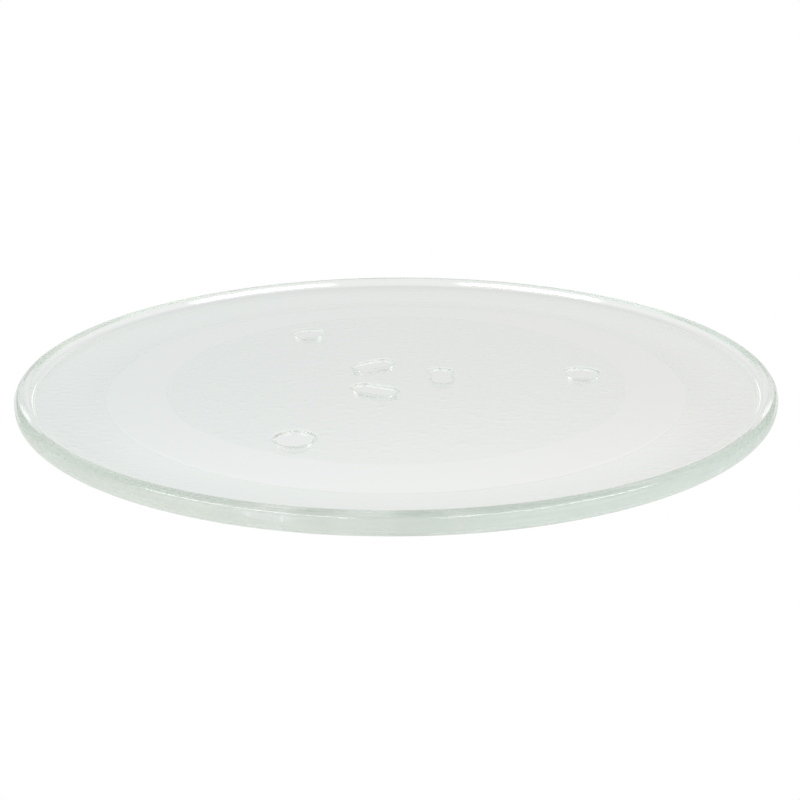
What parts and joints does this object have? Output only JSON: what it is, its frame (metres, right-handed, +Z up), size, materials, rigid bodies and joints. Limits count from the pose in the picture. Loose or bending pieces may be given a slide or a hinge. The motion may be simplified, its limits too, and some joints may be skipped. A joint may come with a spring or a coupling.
{
  "type": "microwave turntable plate",
  "caption": "Round shallow dish of clear pressed glass with a thick rounded rim; its stippled underside has a smooth roller track, drive lugs round the middle and resting feet.",
  "frame": {"origin": "on the plate's axis, in the plane that the feet stand on", "axes": "+Z up along the plate's axis, from the feet to the open side of the dish; +X passes close to one foot and one drive lug"},
  "size_m": [0.288, 0.288, 0.0147],
  "materials": {
    "glass": "clear, faintly green, smooth above and finely stippled below"
  },
  "bodies": {
    "root": {"turntable_plate": "glass"}
  },
  "joints": []
}
